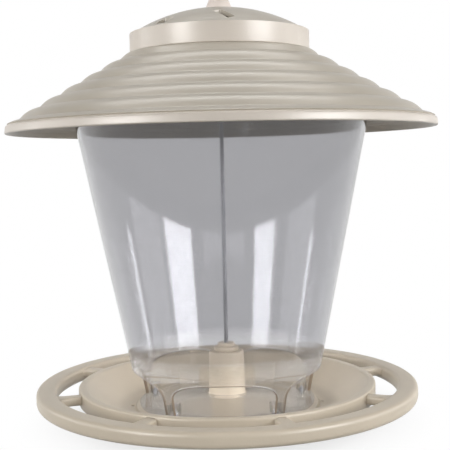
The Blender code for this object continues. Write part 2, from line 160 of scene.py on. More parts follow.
def moulded_grain():
    """Node group for moulded plastic: two noises give slow clouds of tone and roughness and a fine bump."""
    group = bpy.data.node_groups.new("moulded grain", "ShaderNodeTree")
    make = group.interface.new_socket
    make("Light tone", in_out="INPUT", socket_type="NodeSocketColor")
    make("Dark tone", in_out="INPUT", socket_type="NodeSocketColor")
    make("Smooth", in_out="INPUT", socket_type="NodeSocketFloat")
    make("Rough", in_out="INPUT", socket_type="NodeSocketFloat")
    make("Tone", in_out="OUTPUT", socket_type="NodeSocketColor")
    make("Roughness", in_out="OUTPUT", socket_type="NodeSocketFloat")
    make("Height", in_out="OUTPUT", socket_type="NodeSocketFloat")
    nodes, link = group.nodes, group.links.new
    given, taken = nodes.new("NodeGroupInput"), nodes.new("NodeGroupOutput")
    place = nodes.new("ShaderNodeTexCoord")
    clouds, grain = nodes.new("ShaderNodeTexNoise"), nodes.new("ShaderNodeTexNoise")
    clouds.inputs["Scale"].default_value = 28
    clouds.inputs["Detail"].default_value = 5
    grain.inputs["Scale"].default_value = 900
    grain.inputs["Detail"].default_value = 2
    link(place.outputs["Object"], clouds.inputs["Vector"])
    link(place.outputs["Object"], grain.inputs["Vector"])
    spread = nodes.new("ShaderNodeMapRange")
    spread.inputs["From Min"].default_value = 0.3
    spread.inputs["From Max"].default_value = 0.7
    link(clouds.outputs["Fac"], spread.inputs["Value"])
    tone = nodes.new("ShaderNodeMix")
    tone.data_type = "RGBA"
    first_colour, second_colour, mixed_colour = tone.inputs[6], tone.inputs[7], tone.outputs[2]
    link(spread.outputs["Result"], tone.inputs["Factor"])
    link(given.outputs["Dark tone"], first_colour)
    link(given.outputs["Light tone"], second_colour)
    rough = nodes.new("ShaderNodeMapRange")
    link(clouds.outputs["Fac"], rough.inputs["Value"])
    link(given.outputs["Smooth"], rough.inputs["To Min"])
    link(given.outputs["Rough"], rough.inputs["To Max"])
    link(mixed_colour, taken.inputs["Tone"])
    link(rough.outputs["Result"], taken.inputs["Roughness"])
    link(grain.outputs["Fac"], taken.inputs["Height"])
    return group


def grained_finish(name, group, light, dark, smooth, rough, bump, depth):
    """A Principled material fed by the grain group: tone, roughness and a bump of the given strength and depth."""
    made = bpy.data.materials.new(name)
    made.use_nodes = True
    nodes, link = made.node_tree.nodes, made.node_tree.links.new
    shader = nodes["Principled BSDF"]
    grain = nodes.new("ShaderNodeGroup")
    grain.node_tree = group
    grain.inputs["Light tone"].default_value = (*light, 1)
    grain.inputs["Dark tone"].default_value = (*dark, 1)
    grain.inputs["Smooth"].default_value = smooth
    grain.inputs["Rough"].default_value = rough
    height = nodes.new("ShaderNodeBump")
    height.inputs["Strength"].default_value = bump
    height.inputs["Distance"].default_value = depth
    link(grain.outputs["Tone"], shader.inputs["Base Color"])
    link(grain.outputs["Roughness"], shader.inputs["Roughness"])
    link(grain.outputs["Height"], height.inputs["Height"])
    link(height.outputs["Normal"], shader.inputs["Normal"])
    shader.inputs["Specular IOR Level"].default_value = 0.35
    return made


plastic_grain = moulded_grain()
stone_plastic = grained_finish(
    "stone plastic", plastic_grain, (0.632, 0.550, 0.436), (0.578, 0.503, 0.397), 0.34, 0.46, 0.25, 0.0002
)
fit = 0.0003
rod_radius = 0.0012
rod_bore = rod_radius + fit
tray_wall = 0.0024
land_inner, land_outer, land_height, land_edge = 0.0418, 0.0558, 0.0074, 0.001
gutter_outer, gutter_height = 0.0668, 0.0059
land_under, gutter_under = land_height - tray_wall, gutter_height - tray_wall
foot_in, foot_out, foot_draft = 0.0615, 0.0640, 0.001
rim_radius, rim_width, rim_height, rim_top_wall = 0.0902, 0.0046, 0.0208, 0.0030
rim_under, rim_shelf = rim_height - rim_top_wall, 0.001
band_in, band_foot, band_edge = rim_radius - tray_wall, rim_height - 0.0098, 0.0009
post_radius, post_foot, post_top, post_draft = 0.0112, 0.0119, 0.0394, 0.0006
post_lid, hollow_top, hollow_foot = post_top - 0.0026, 0.0082, 0.0088
tray_outline = [
    (rod_bore, post_top), (rod_bore, post_lid), (hollow_top, post_lid), (hollow_foot, post_foot - tray_wall),
    (land_inner, land_under), (land_outer - land_edge, land_under), (land_outer, gutter_under),
    (foot_in - foot_draft, gutter_under), (foot_in, 0), (foot_out, 0), (foot_out + foot_draft, gutter_under),
    (gutter_outer + tray_wall, gutter_under), (band_in - rim_shelf, rim_under), (band_in, rim_under),
    (band_in, band_foot), (rim_radius - band_edge, band_foot), (rim_radius, band_foot + band_edge),
    (rim_radius, rim_height), (rim_radius - rim_width, rim_height), (gutter_outer, gutter_height),
    (land_outer + land_edge, gutter_height), (land_outer, land_height), (land_inner, land_height),
    (post_radius, post_foot), (post_radius - post_draft, post_top),
]
tray_rounds = [
    0, 0, 0.0005, 0.001, 0.004, 0.0006, 0.0006, 0.0006, 0.0005, 0.0005, 0.0006, 0.003, 0.0004, 0.0004, 0.0004,
    0.0006, 0.0006, 0.0013, 0.0013, 0.004, 0.0006, 0.0006, 0.003, 0.0016, 0.0008,
]
tray_skin = skin(turned(rounded(tray_outline, np.array(tray_rounds)), 192))
tray = piece_of("tray", "base", ["base_tray"], stone_plastic, [tray_skin])
leg_turns = math.radians(-128) + 2 * np.pi * np.arange(5) / 5
spoke_turns = math.radians(18) + 2 * np.pi * np.arange(8) / 8
drain_turns = 2 * np.pi * np.arange(8) / 8
screw_ring, screw_bore = 0.0487, 0.0017
drain_ring, drain_bore = 0.0584, 0.0013
drill_top = 0.012
spoke_height, spoke_middle = 0.0052, rim_height - 0.0038
tongue_depth, tongue_width = 0.0018, 0.0050
screw_holes = [skin(moved(peg(screw_bore, 0, drill_top), turn, screw_ring), False) for turn in leg_turns]
drains = [skin(moved(peg(drain_bore, 0, drill_top), turn, drain_ring), False) for turn in drain_turns]
pocket = bar(tongue_depth + fit, tongue_width / 2 + fit, -spoke_height / 2 - fit, spoke_height / 2 + fit)
pockets = [skin(moved(pocket, turn, rim_radius, spoke_middle), False) for turn in spoke_turns]
worked(tray, screw_holes + drains + pockets, "DIFFERENCE")

# Perch ring
# A round-edged ring on eight spokes, moulded in one piece in the tray's plastic. It is pushed up from below, and
# the tongues at the spokes' inner ends plug into the tray's rim band.
perch_radius, perch_width, perch_height, perch_round = 0.1152, 0.0120, 0.0090, 0.0031
perch_inner, perch_top = perch_radius - perch_width, rim_height
perch_foot = perch_top - perch_height
ring_outline = [
    (perch_radius, perch_foot), (perch_radius, perch_top), (perch_inner, perch_top), (perch_inner, perch_foot)
]
ring = skin(turned(rounded(ring_outline, perch_round, 9), 240))


def spoke():
    """A rounded bar along +X from the rim into the ring: half width = 4 mm + 3 mm e^((x - a) / 2.4 mm), a flare
    that is full at a, just inside the ring. The height is steady."""
    half_width, most_flare, flare_length = 0.0040, 0.0030, 0.0024
    reach = np.linspace(rim_radius + fit, perch_radius - perch_width / 2, 28)[:, None]
    flare = most_flare * np.exp((reach - perch_inner - 0.0006) / flare_length).clip(0, 1)
    section = rounded([(1, -1), (1, 1), (-1, 1), (-1, -1)], 0.5, 6)
    across = section[:, 0] * (half_width + flare)
    up = spoke_middle + section[:, 1] * spoke_height / 2
    return np.stack([reach + 0 * across, across, up + 0 * reach], -1)


tongue_half = 0.0025
tongue_low, tongue_high = spoke_middle - spoke_height / 2, spoke_middle + spoke_height / 2
tongue = bar(tongue_half, tongue_width / 2, tongue_low, tongue_high, 0.0006)
tongue_place = rim_radius - tongue_depth + tongue_half
spokes = [skin(moved(spoke(), turn, 0), False) for turn in spoke_turns]
tongues = [skin(moved(tongue, turn, tongue_place), False) for turn in spoke_turns]
perch = piece_of("perch", "base", ["perch_ring"], stone_plastic, [ring])
worked(perch, spokes, "UNION")
worked(perch, tongues, "UNION")

# Hopper
# A clear moulded tube, narrower at the foot, with arched seed ports between its legs. Its faint grey tint is
# painted shade, standing for a dim background seen through it. The legs stand on a sloped floor ring, with a boss
# by each leg for the screw that comes up through the tray.
hopper_foot, hopper_top, hopper_wall = 0.0077, 0.1877, 0.0022
foot_radius, mouth_radius = 0.0533, 0.0896
floor_top, floor_hole = hopper_foot + 0.0022, 0.0128
boss_radius, boss_top, pilot_top = 0.0034, 0.0162, 0.0152
floor_rise = (post_foot - land_height) * (land_inner - floor_hole) / (land_inner - post_radius)


def hopper_shell():
    """Wall of a cone: r = foot + slope (z - z0). Its lower edge is the foot in a leg and, in a port, the arch
    z = spring + rise (1 - |x|^p)^(1/p), with x from -1 to 1 across the port."""
    spring, rise, power = 0.0179, 0.0116, 2.6
    leg_steps, port_steps, leg_low = 7, 61, hopper_foot + 0.0008
    half_leg = 0.0030 / foot_radius
    half_port = np.pi / 5 - half_leg
    across = -np.cos(np.linspace(0, np.pi, port_steps))
    arch = spring + rise * (1 - np.abs(across) ** power) ** (1 / power)
    one_angle = np.concatenate([np.linspace(-half_leg, half_leg, leg_steps), np.pi / 5 + across * (half_port - 1e-4)])
    one_low = np.concatenate([np.full(leg_steps, leg_low), arch])
    angle = (leg_turns[:, None] + one_angle).reshape(-1, 1)
    low = np.tile(one_low, len(leg_turns))[:, None]
    up = np.concatenate([[0.0, 0.002, 0.005], np.linspace(0.01, 0.997, 30), [1.0]])
    side = np.concatenate([[-0.0006, -0.0002], np.zeros(len(up) - 4), [-0.0002, -0.0006]])
    height = low + (hopper_top - low) * up
    outside = foot_radius + (mouth_radius - foot_radius) * (height - hopper_foot) / (hopper_top - hopper_foot)
    radius = np.concatenate([outside + side, (outside - hopper_wall - side)[:, ::-1]], 1)
    height = np.concatenate([height, height[:, ::-1]], 1)
    return np.stack([radius * np.cos(angle), radius * np.sin(angle), height], -1)


def clear_finish():
    """Clear plastic: a grey tint that is painted shade, standing for a dim background seen through it, with flow
    lines as a faint bump and haze. Its body takes up light along the way. Towards the foot the painted tint thins out
    and part of the surface lets light straight through, as all of it does to the light of the lamps, so that they
    reach the tray inside."""
    made = bpy.data.materials.new("clear plastic")
    made.use_nodes = True
    nodes, link = made.node_tree.nodes, made.node_tree.links.new
    shader = nodes["Principled BSDF"]
    shader.inputs["Transmission Weight"].default_value = 1.0
    shader.inputs["IOR"].default_value = 1.57
    body = nodes.new("ShaderNodeVolumeAbsorption")
    body.inputs["Color"].default_value = (0.40, 0.40, 0.42, 1)
    body.inputs["Density"].default_value = 60
    link(body.outputs["Volume"], nodes["Material Output"].inputs["Volume"])
    place, split = nodes.new("ShaderNodeTexCoord"), nodes.new("ShaderNodeSeparateXYZ")
    link(place.outputs["Object"], split.inputs["Vector"])
    # The grey base colour is painted shade for a dim background seen through; it fades to near white at the foot.
    level, ramp = nodes.new("ShaderNodeMapRange"), nodes.new("ShaderNodeValToRGB")
    level.inputs["From Min"].default_value = 0.029
    level.inputs["From Max"].default_value = 0.044
    ramp.color_ramp.elements[0].color = (1.0, 0.99, 0.98, 1)
    ramp.color_ramp.elements[1].color = (0.64, 0.64, 0.655, 1)
    link(split.outputs["Z"], level.inputs["Value"])
    link(level.outputs["Result"], ramp.inputs["Fac"])
    link(ramp.outputs["Color"], shader.inputs["Base Color"])
    flow = nodes.new("ShaderNodeTexNoise")
    flow.inputs["Scale"].default_value = 22
    flow.inputs["Detail"].default_value = 2
    stretch = nodes.new("ShaderNodeMapping")
    stretch.inputs["Scale"].default_value = (1, 1, 0.35)
    link(place.outputs["Object"], stretch.inputs["Vector"])
    link(stretch.outputs["Vector"], flow.inputs["Vector"])
    haze = nodes.new("ShaderNodeMapRange")
    haze.inputs["To Min"].default_value = 0.02
    haze.inputs["To Max"].default_value = 0.07
    link(flow.outputs["Fac"], haze.inputs["Value"])
    link(haze.outputs["Result"], shader.inputs["Roughness"])
    ripple = nodes.new("ShaderNodeBump")
    ripple.inputs["Strength"].default_value = 0.10
    ripple.inputs["Distance"].default_value = 0.002
    link(flow.outputs["Fac"], ripple.inputs["Height"])
    link(ripple.outputs["Normal"], shader.inputs["Normal"])
    ray, tone = nodes.new("ShaderNodeLightPath"), nodes.new("ShaderNodeMapRange")
    thin, pick = nodes.new("ShaderNodeBsdfTransparent"), nodes.new("ShaderNodeMixShader")
    tone.inputs["To Min"].default_value = 0.985
    tone.inputs["To Max"].default_value = 0.80
    link(ray.outputs["Is Shadow Ray"], tone.inputs["Value"])
    link(tone.outputs["Result"], thin.inputs["Color"])
    foot, most = nodes.new("ShaderNodeMapRange"), nodes.new("ShaderNodeMath")
    foot.inputs["From Min"].default_value = 0.030
    foot.inputs["From Max"].default_value = 0.044
    foot.inputs["To Min"].default_value = 0.66
    foot.inputs["To Max"].default_value = 0.0
    most.operation = "MAXIMUM"
    link(split.outputs["Z"], foot.inputs["Value"])
    link(foot.outputs["Result"], most.inputs[0])
    link(ray.outputs["Is Shadow Ray"], most.inputs[1])
    link(most.outputs["Value"], pick.inputs["Fac"])
    link(shader.outputs["BSDF"], pick.inputs[1])
    link(thin.outputs["BSDF"], pick.inputs[2])
    link(pick.outputs["Shader"], nodes["Material Output"].inputs["Surface"])
    return made


clear_plastic = clear_finish()
# Painted shade: the clear wall's cut edges round the ports and feet are painted dark brown.
painted_edge_shade = grained_finish(
    "painted edge shade", plastic_grain, (0.29, 0.22, 0.156), (0.19, 0.144, 0.10), 0.25, 0.40, 0.20, 0.0002
)
shell = hopper_shell()
hopper = piece_of("hopper_tube", "base", ["hopper"], clear_plastic, [skin(shell)], 50)
# The bottom edge strips of the wall take the painted edge shade.
hopper.data.materials.append(painted_edge_shade)
strip = np.arange(len(hopper.data.polygons)) % shell.shape[1]
on_edge = np.isin(strip, [0, shell.shape[1] - 2, shell.shape[1] - 1])
hopper.data.polygons.foreach_set("material_index", on_edge.astype(np.int32))
floor_outline = [
    (floor_hole, hopper_foot + floor_rise), (land_inner, hopper_foot), (foot_radius, hopper_foot),
    (foot_radius + 0.0004, floor_top), (land_inner, floor_top), (floor_hole, floor_top + floor_rise),
]
floor_ring = skin(turned(rounded(floor_outline, 0.0006), 160))
boss, pilot = peg(boss_radius, hopper_foot + 0.0005, boss_top, 40), peg(screw_bore, 0, pilot_top)
bosses = [skin(moved(boss, turn, screw_ring), False) for turn in leg_turns]
pilots = [skin(moved(pilot, turn, screw_ring), False) for turn in leg_turns]
worked(hopper, [floor_ring], "UNION", 40)
worked(hopper, bosses, "UNION", 40)
worked(hopper, pilots, "DIFFERENCE", 40)

# Hopper screws
# Zinc-plated pan-head screws with a cross recess, driven up through the tray's floor into the hopper's bosses.


def brushed_finish(name, light, dark, smooth, rough, stretch):
    """Plated steel: noise drawn out along Z varies the tone and the roughness, and gives a faint bump."""
    made = bpy.data.materials.new(name)
    made.use_nodes = True
    nodes, link = made.node_tree.nodes, made.node_tree.links.new
    shader = nodes["Principled BSDF"]
    shader.inputs["Metallic"].default_value = 1.0
    place, scale = nodes.new("ShaderNodeTexCoord"), nodes.new("ShaderNodeMapping")
    scale.inputs["Scale"].default_value = stretch
    streak = nodes.new("ShaderNodeTexNoise")
    streak.inputs["Scale"].default_value = 1.0
    streak.inputs["Detail"].default_value = 6
    link(place.outputs["Object"], scale.inputs["Vector"])
    link(scale.outputs["Vector"], streak.inputs["Vector"])
    tone = nodes.new("ShaderNodeValToRGB")
    tone.color_ramp.elements[0].position = 0.35
    tone.color_ramp.elements[0].color = (*dark, 1)
    tone.color_ramp.elements[1].position = 0.65
    tone.color_ramp.elements[1].color = (*light, 1)
    link(streak.outputs["Fac"], tone.inputs["Fac"])
    link(tone.outputs["Color"], shader.inputs["Base Color"])
    gloss = nodes.new("ShaderNodeMapRange")
    gloss.inputs["To Min"].default_value = smooth
    gloss.inputs["To Max"].default_value = rough
    link(streak.outputs["Fac"], gloss.inputs["Value"])
    link(gloss.outputs["Result"], shader.inputs["Roughness"])
    bump = nodes.new("ShaderNodeBump")
    bump.inputs["Strength"].default_value = 0.15
    bump.inputs["Distance"].default_value = 0.0001
    link(streak.outputs["Fac"], bump.inputs["Height"])
    link(bump.outputs["Normal"], shader.inputs["Normal"])
    return made


def screw():
    """Head: a shallow dome facing down, sunk where min(|x|, |y|) is small, for the cross. Shank: r = 1.4 mm less a
    triangle wave of (height / pitch - angle / turn), a thread that fades in under the head."""
    angle = np.linspace(0, 2 * np.pi, 72, endpoint=False)
    under = land_under - fit
    head_radius, head_height, head_dome, shank, length = 0.0030, 0.0020, 0.0011, 0.0014, 0.0085
    cross_half, cross_reach, cross_depth = 0.00042, 0.00175, 0.0008
    pitch, thread_depth, thread_start = 0.0011, 0.00045, 0.0026
    out = np.linspace(0.00002, 1, 22)[:, None] * head_radius
    x, y = out * np.cos(angle), out * np.sin(angle)
    slot = np.minimum(np.abs(x), np.abs(y))
    sunk = np.clip((cross_half - slot) / 0.00014, 0, 1) * np.clip((cross_reach - out) / 0.0003, 0, 1)
    dome = under - head_height + head_dome * (out / head_radius) ** 3 + cross_depth * sunk
    head = np.stack([x, y, dome], -1)
    collar = np.array([under - 0.0004, under])[:, None] + 0 * angle
    rim = np.stack([head_radius * np.cos(angle) + 0 * collar, head_radius * np.sin(angle) + 0 * collar, collar], -1)
    up = np.linspace(0, length - shank, 90)[:, None]
    wave = np.abs((up / pitch - angle / (2 * np.pi)) % 1 - 0.5) * 2
    depth = thread_depth * wave * np.clip((up - thread_start) / 0.0008, 0, 1)
    radius = shank - depth
    rod = np.stack([radius * np.cos(angle), radius * np.sin(angle), under + up + 0 * angle], -1)
    tip_out = np.array([0.5, 0.01])[:, None] * (shank - 0.0004)
    tip_up = under + length - shank + np.array([0.5, 1.0])[:, None] * shank
    tip = np.stack([tip_out * np.cos(angle), tip_out * np.sin(angle), tip_up + 0 * angle], -1)
    return np.concatenate([head, rim, rod, tip])


zinc_steel = brushed_finish("zinc steel", (0.50, 0.50, 0.51), (0.38, 0.38, 0.40), 0.28, 0.45, (900, 900, 250))
for number, turn in enumerate(leg_turns, 1):
    piece_of(
        f"leg_screw_{number}", "base", [f"hopper_screw_{number}"], zinc_steel,
        [skin(moved(screw(), turn, screw_ring), False)],
    )

# Post bush
# A small stepped bush in the tray's plastic, threaded on the rod and sitting on top of the post.
bush_foot = post_top + fit
bush_step, bush_slant, bush_top = bush_foot + 0.0023, bush_foot + 0.0028, bush_foot + 0.0046
bush_radius, bush_neck = 0.0076, 0.0052
bush_outline = [
    (rod_bore, bush_foot), (bush_radius, bush_foot), (bush_radius, bush_step),
    (bush_neck, bush_slant), (bush_neck, bush_top), (rod_bore, bush_top),
]
bush_rounds = np.array([0, 0.0003, 0.0006, 0.0004, 0.0006, 0.0003])
bush = skin(turned(rounded(bush_outline, bush_rounds), 96))
piece_of("bush", "base", ["post_bush"], stone_plastic, [bush])

# Rod washer and nut
# A flat washer and a chamfered hexagon nut, zinc plated, that clamp the rod inside the hollow post.
washer_radius, washer_top = 0.006, post_lid - fit
washer_low = washer_top - 0.0012
washer_outline = [
    (rod_bore, washer_low), (washer_radius, washer_low), (washer_radius, washer_top), (rod_bore, washer_top)
]
washer = skin(turned(rounded(washer_outline, 0.0002), 72))
piece_of("washer", "base", ["rod_washer"], zinc_steel, [washer])


def nut():
    """Hexagon: r = half width / cos(angle to the nearest flat), held inside a cone at both faces for the chamfers."""
    half_width, height, cone_slope = 0.0035, 0.0032, 1.7
    angle = np.linspace(0, 2 * np.pi, 120, endpoint=False)[:, None]
    top, low = washer_low - fit, washer_low - fit - height
    flats = half_width / np.cos((angle + np.pi / 6) % (np.pi / 3) - np.pi / 6)
    steps = np.array([0, 0.0001, 0.0003, 0.0006, 0.0026, 0.0029, 0.0031, height])
    room = half_width + np.minimum(steps, height - steps) * cone_slope
    outside = np.minimum(flats, room)
    bore = np.full((len(angle), 2), rod_bore)
    radius = np.concatenate([outside, bore], 1)
    level = np.concatenate([low + steps, [top, low]]) + 0 * angle
    return np.stack([radius * np.cos(angle), radius * np.sin(angle), level], -1)


piece_of("nut", "base", ["rod_nut"], zinc_steel, [skin(nut())], 25)

# Hanger rod
# One straight galvanised steel wire, clamped in the post, that carries the whole feeder. Above the cap it is bent
# round into an eye for a hook.


def rod_grid():
    """A round tube along a flat path in X and Z: straight up, then about 310 degrees of a circle. The path is evened
    out by a moving average, and each ring is P + r (N cos a + Y sin a)."""
    loop = 0.0102
    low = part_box("hanger_rod")[0][2]
    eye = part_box("hanger_rod")[1][2] - (loop + rod_radius)
    start, gap = -np.pi / 3, np.pi / 6 + 0.0036 / loop
    turn = np.linspace(start, start + 2 * np.pi - gap, 160)
    straight = np.linspace(low, eye - loop - 0.0024, 120)
    x = np.concatenate([0 * straight, loop * np.cos(turn)])
    z = np.concatenate([straight, eye + loop * np.sin(turn)])
    run = np.concatenate([[0], np.cumsum(np.hypot(np.diff(x), np.diff(z)))])
    even = np.linspace(0, run[-1], 900)
    x, z = np.interp(even, run, x), np.interp(even, run, z)
    window = np.ones(9) / 9
    x[4:-4], z[4:-4] = np.convolve(x, window, "valid"), np.convolve(z, window, "valid")
    keep = np.concatenate([np.arange(0, 700, 20), np.arange(700, 900, 2), [899]])
    along_x, along_z = np.gradient(x)[keep], np.gradient(z)[keep]
    length = np.hypot(along_x, along_z)
    side_x, side_z = (along_z / length)[:, None], (-along_x / length)[:, None]
    angle = np.linspace(0, 2 * np.pi, 20, endpoint=False)
    across, deep = rod_radius * np.cos(angle), rod_radius * np.sin(angle)
    x, z = x[keep][:, None], z[keep][:, None]
    return np.stack([x + side_x * across, deep + 0 * x, z + side_z * across], -1)


rod_steel = brushed_finish("rod steel", (0.22, 0.22, 0.23), (0.14, 0.14, 0.15), 0.30, 0.50, (700, 700, 60))
piece_of("rod", "base", ["hanger_rod"], rod_steel, [skin(rod_grid(), False)])

# Roof
# A round roof moulded in a greyer plastic: soft ribs from the neck to a flared lip, whose outer face is painted a
# shade paler as painted light. Underneath, a seat and a short skirt fit over the hopper's rim, and the neck at the
# top takes the filler cap.
seat, seat_in, skirt_in, skirt_out = 0.1880, 0.0860, 0.0899, 0.0921
seat_room, skirt_foot = 0.0092, seat - 0.0036
brim_radius, lip_radius, lip_height = 0.1280, 0.1264, 0.0058
rib_count, rib_run, rib_fall, rib_depth, roof_wall = 6, 0.0118, 0.0068, 0.0007, 0.0022
rib_slope = rib_fall / rib_run
lip_top = seat + seat_room + roof_wall * math.hypot(1, rib_slope) - rib_slope * (lip_radius - mouth_radius)
brim = lip_top - lip_height
shoulder_radius, shoulder = lip_radius - rib_count * rib_run, lip_top + rib_count * rib_fall
neck_radius, neck_wall, neck_top = 0.0513, 0.0025, shoulder + 0.0080
neck_in = neck_radius - neck_wall


def ribs(depth, steps=24):
    """Line of round ribs from the neck outward: a straight slope shifted along its normal by
    d (2 |cos(pi k)| - 1) - depth, with k counting the ribs."""
    k = np.linspace(0, rib_count, rib_count * steps + 1)
    length = math.hypot(rib_run, rib_fall)
    shift = rib_depth * (2 * np.abs(np.cos(np.pi * k)) - 1) - depth
    radius = shoulder_radius + rib_run * k + shift * rib_fall / length
    return np.stack([radius, shoulder - rib_fall * k + shift * rib_run / length], -1)


roof_out, roof_in = ribs(rib_depth), ribs(rib_depth + roof_wall)
roof_in = roof_in[roof_in[:, 0] < lip_radius - roof_wall - 0.001]
seat_top = np.interp([seat_in, skirt_out], roof_in[:, 0], roof_in[:, 1])
crest_radius, crest = lip_radius - 0.0004, lip_top - 0.0006
lip = rounded(
    [
        (crest_radius, crest), (lip_radius + 0.0011, lip_top - 0.0013),
        (brim_radius, brim), (brim_radius - roof_wall, brim), (lip_radius - roof_wall, roof_in[-1, 1] - roof_wall),
    ],
    np.array([0, 0.0010, 0.0009, 0.0009, 0]),
    closed=False,
)
skirt = rounded(
    [
        (skirt_out, seat_top[1]), (skirt_out, skirt_foot), (skirt_in, skirt_foot),
        (skirt_in, seat), (seat_in, seat), (seat_in, seat_top[0]),
    ],
    0.0004,
    closed=False,
)
neck = rounded(
    [
        (neck_in, roof_in[0, 1]), (neck_in, neck_top), (neck_radius, neck_top), (neck_radius, shoulder),
    ],
    0.0006,
    closed=False,
)
beyond, within = roof_in[:, 0] > skirt_out + 0.0005, roof_in[:, 0] < seat_in - 0.0005
roof_line = np.concatenate([roof_out, lip, roof_in[beyond][::-1], skirt, roof_in[within][::-1], neck])


def paint_lit_faces(piece, finish, bottom, top, inside):
    """Paints light onto the outward faces that lie beyond a radius and between two heights: they take a second,
    paler finish.
    """
    piece.data.materials.append(finish)
    for face in piece.data.polygons:
        across = face.center.xy
        if bottom < face.center.z < top and across.length > inside and across.dot(face.normal.xy) > 0:
            face.material_index = 1


roof_plastic = grained_finish(
    "roof plastic", plastic_grain, (0.472, 0.425, 0.352), (0.430, 0.386, 0.320), 0.32, 0.42, 0.25, 0.0002
)
# A paler copy of the roof plastic, painted light on the lip's outer face and on the cap's skirt.
painted_lit_plastic = grained_finish(
    "painted lit plastic", plastic_grain, (0.628, 0.566, 0.495), (0.578, 0.521, 0.457), 0.32, 0.42, 0.25, 0.0002
)
roof_skin = skin(turned(roof_line[::-1], 224))
roof = piece_of("roof_shell", "roof", ["roof"], roof_plastic, [roof_skin], 50)
# Painted light: the lip's outer face takes the paler copy.
paint_lit_faces(roof, painted_lit_plastic, brim - 0.001, crest, crest_radius)

# Filler cap
# A cap that lifts off the neck for filling: a shallow dome in the roof's darker plastic over a skirt in the paler
# copy, painted shade on the dome and painted light on the skirt. Three vent slots pierce the dome near its edge, and
# a skewed window at the front shows the latch's place.
cap_radius, cap_foot, cap_wall, dome_rise = 0.0538, shoulder + fit, 0.0022, 0.0160
cap_shoulder = cap_foot + 0.0104
cap_crown = cap_shoulder + dome_rise
sphere = (cap_radius**2 + dome_rise**2) / (2 * dome_rise)
sphere_in, sphere_middle = sphere - cap_wall, cap_crown - sphere
dome_edge, flat_edge, stem_hole = cap_radius - 0.0020, 0.0086, 0.0047
tilt = np.linspace(math.acos(dome_edge / sphere), math.acos(flat_edge / sphere), 40)
dome_out = np.stack([sphere * np.cos(tilt), sphere_middle + sphere * np.sin(tilt)], -1)
dome_in = np.stack([sphere_in * np.cos(tilt), sphere_middle + sphere_in * np.sin(tilt)], -1)
dome_in = dome_in[dome_in[:, 0] < cap_radius - cap_wall - 0.002]
cap_flat = dome_out[-1, 1]
cap_skirt = rounded(
    [
        (cap_radius - cap_wall, dome_in[0, 1] - 0.0020), (cap_radius - cap_wall, cap_foot),
        (cap_radius, cap_foot), (cap_radius, dome_out[0, 1] - 0.0002),
    ],
    0.0005,
    closed=False,
)
cap_hole = np.array([(stem_hole, cap_flat), (stem_hole, cap_flat - cap_wall)])
cap_line = np.concatenate([cap_skirt, dome_out[1:], cap_hole, dome_in[::-1]])
cap = piece_of("cap_dome", "cap", ["filler_cap"], roof_plastic, [skin(turned(cap_line, 192))], 40)
cut_low, cut_high, cut_round = cap_shoulder - 0.006, cap_shoulder + 0.022, 0.0012
vent_half, vent_ring = 0.0040, cap_radius - 0.0082
vent_turns = math.radians(-132) + 2 * np.pi * np.arange(3) / 3
vent = bar(vent_half, vent_half, cut_low, cut_high, cut_round)
window_long, window_short, window_ring = 0.0075, 0.0025, 0.0410
window_skew, window_turn = math.radians(29), math.radians(-86)
window = moved(bar(window_long, window_short, cut_low, cut_high, cut_round), window_skew, 0)
cuts = [skin(moved(vent, turn, vent_ring), False) for turn in vent_turns]
cuts.append(skin(moved(window, window_turn, window_ring), False))
worked(cap, cuts, "DIFFERENCE", 40)
# The skirt takes the paler copy as painted light; the dome keeps the darker plastic as painted shade.
paint_lit_faces(cap, painted_lit_plastic, cap_foot - 0.001, dome_out[0, 1], cap_radius - 0.0010)

# Cap grommet
# A pale, soft tapered grommet snapped into the cap's hole. It slides on the rod with the cap and keeps rain out.
grommet_seat = cap_flat + fit
bead = grommet_seat - cap_wall - 2 * fit
bead_foot, flange_top = bead - 0.0016, grommet_seat + 0.0010
cone_top, grommet_top = grommet_seat + 0.0085, grommet_seat + 0.0115
stem_radius, bead_radius, flange_radius, tip_radius = 0.0044, 0.0058, 0.0076, 0.0046
grommet_outline = [
    (rod_bore, bead_foot), (stem_radius, bead_foot), (bead_radius, bead), (stem_radius, bead),
    (stem_radius, grommet_seat), (flange_radius, grommet_seat), (flange_radius, flange_top),
    (tip_radius, cone_top), (tip_radius, grommet_top), (rod_bore, grommet_top),
]
grommet_rounds = np.array([0.0002, 0.0003, 0.0004, 0.0002, 0.0002, 0.0003, 0.0008, 0.0030, 0.0010, 0.0002])
pale_vinyl = grained_finish(
    "pale vinyl", plastic_grain, (0.77, 0.68, 0.62), (0.70, 0.62, 0.565), 0.42, 0.58, 0.20, 0.0002
)
grommet = skin(turned(rounded(grommet_outline, grommet_rounds, 7), 96))
piece_of("grommet", "cap_guide", ["cap_grommet"], pale_vinyl, [grommet])

# Studio
# A floor and a surround that are white to the eye, soft lamps round the front and sides, cards that show only in
# gloss and in clear plastic, and the camera at the photograph's height and angle.


